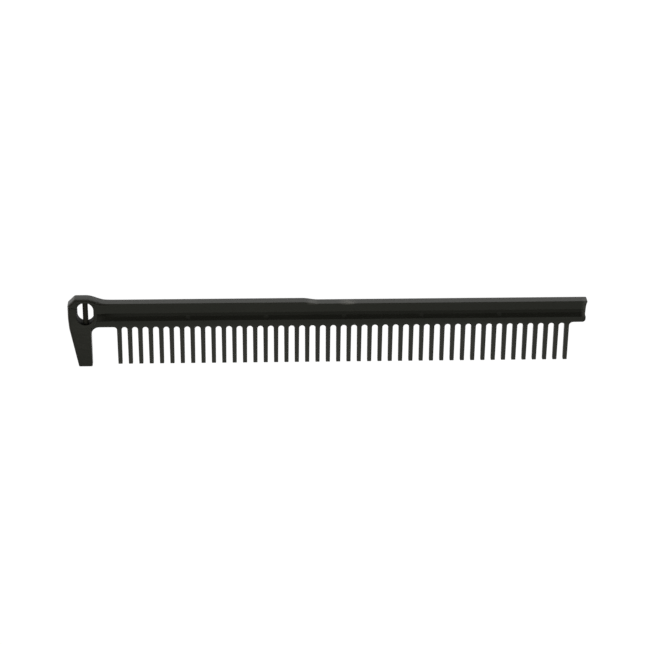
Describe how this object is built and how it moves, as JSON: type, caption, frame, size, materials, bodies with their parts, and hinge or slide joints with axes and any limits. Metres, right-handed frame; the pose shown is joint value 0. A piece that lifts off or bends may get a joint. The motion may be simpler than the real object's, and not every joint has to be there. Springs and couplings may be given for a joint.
{
  "type": "hair comb",
  "caption": "Flat hairdressing comb: thick slotted spine with a barred hanging eye and a wide guard tooth, holding a thin bar of evenly spaced square-tipped teeth.",
  "frame": {"origin": "middle of the comb's bounding box in X and Y, on the plane that its back lies on", "axes": "+X along the comb from the head with the eye to the plain end, +Y from the tooth tips to the spine, +Z out of the front face; the comb lies flat"},
  "size_m": [0.1788, 0.026, 0.0043],
  "materials": {
    "spine_plastic": "near-black moulded plastic, satin with a fine grain",
    "tooth_plastic": "near-black moulded plastic, satin, slightly brighter along the rounded edges",
    "bar_plastic": "near-black moulded plastic, satin",
    "peg_plastic": "near-black plastic, flat cut ends, a little greyer than the spine"
  },
  "bodies": {
    "root": {"spine": "spine_plastic", "head": "spine_plastic", "tooth_bar": "tooth_plastic", "teeth": "tooth_plastic", "eye_bar": "bar_plastic", "peg_1": "peg_plastic", "peg_2": "peg_plastic", "peg_3": "peg_plastic", "peg_4": "peg_plastic", "peg_5": "peg_plastic"}
  },
  "joints": []
}
